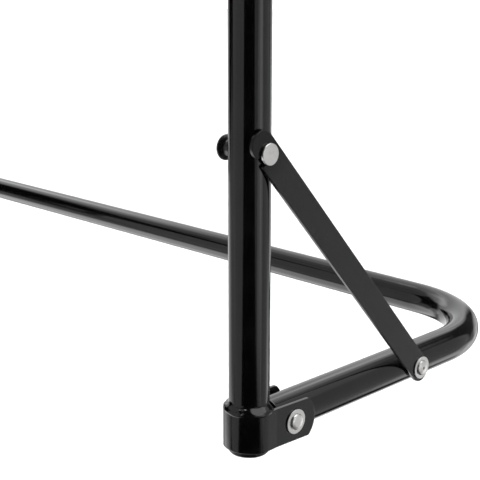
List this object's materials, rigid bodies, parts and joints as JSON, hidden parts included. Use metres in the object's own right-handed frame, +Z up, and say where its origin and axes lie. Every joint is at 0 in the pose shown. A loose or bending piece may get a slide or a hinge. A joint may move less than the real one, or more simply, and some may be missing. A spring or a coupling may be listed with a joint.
{
  "type": "wall mounted fold down drying rack",
  "caption": "Wall mounted drying rack of bent round tube: two posts joined by a top rail, and a U-shaped frame hinged at their feet that folds down once its hooked side stays are unhooked.",
  "frame": {"origin": "on the wall's face, halfway between the two posts and halfway between the upper and lower saddles", "axes": "+X along the wall towards the rack's right post, +Y into the wall, +Z up; the rack stands out from the wall towards -Y"},
  "size_m": [0.955, 0.3674, 0.5492],
  "materials": {
    "gloss_black_paint": "gloss black paint on the tubes and the brackets welded to them",
    "satin_black_paint": "satin black paint on steel strip",
    "zinc_plate": "bright zinc plate",
    "black_plastic": "moulded black plastic"
  },
  "bodies": {
    "rear_frame": {"rear_frame_tube": "gloss_black_paint", "hinge_bracket_left": "gloss_black_paint", "hinge_bracket_right": "gloss_black_paint", "hinge_rivet_left": "zinc_plate", "hinge_rivet_right": "zinc_plate", "hinge_washer_outer_left": "zinc_plate", "hinge_washer_outer_right": "zinc_plate", "hinge_washer_inner_left": "zinc_plate", "hinge_washer_inner_right": "zinc_plate", "post_cap_left": "black_plastic", "post_cap_right": "black_plastic", "stay_stud_left": "zinc_plate", "stay_stud_right": "zinc_plate", "stud_peg_left": "black_plastic", "stud_peg_right": "black_plastic", "wall_saddle_upper_left": "satin_black_paint", "saddle_rivet_upper_left": "zinc_plate", "wall_screw_upper_left_outer": "zinc_plate", "wall_screw_upper_left_inner": "zinc_plate", "wall_saddle_upper_right": "satin_black_paint", "saddle_rivet_upper_right": "zinc_plate", "wall_screw_upper_right_outer": "zinc_plate", "wall_screw_upper_right_inner": "zinc_plate", "wall_saddle_lower_left": "satin_black_paint", "saddle_rivet_lower_left": "zinc_plate", "wall_screw_lower_left_outer": "zinc_plate", "wall_screw_lower_left_inner": "zinc_plate", "wall_saddle_lower_right": "satin_black_paint", "saddle_rivet_lower_right": "zinc_plate", "wall_screw_lower_right_outer": "zinc_plate", "wall_screw_lower_right_inner": "zinc_plate"},
    "swing_frame": {"swing_frame_tube": "gloss_black_paint", "stay_rivet_left": "zinc_plate", "stay_rivet_right": "zinc_plate", "stay_washer_left": "zinc_plate", "stay_washer_right": "zinc_plate"},
    "stay_left": {"stay_left": "satin_black_paint"},
    "stay_right": {"stay_right": "satin_black_paint"}
  },
  "joints": [
    {"name": "frame_fold", "type": "hinge", "parent": "rear_frame", "child": "swing_frame", "pos_m": [0, -0.0575, -0.3505], "axis": [1, 0, 0], "range_deg": [0, 90]},
    {"name": "stay_left_swing", "type": "hinge", "parent": "swing_frame", "child": "stay_left", "pos_m": [-0.45155, -0.1865, -0.35], "axis": [1, 0, 0], "range_deg": [0, 132.5]},
    {"name": "stay_right_swing", "type": "hinge", "parent": "swing_frame", "child": "stay_right", "pos_m": [0.45155, -0.1865, -0.35], "axis": [1, 0, 0], "range_deg": [0, 132.5]}
  ]
}
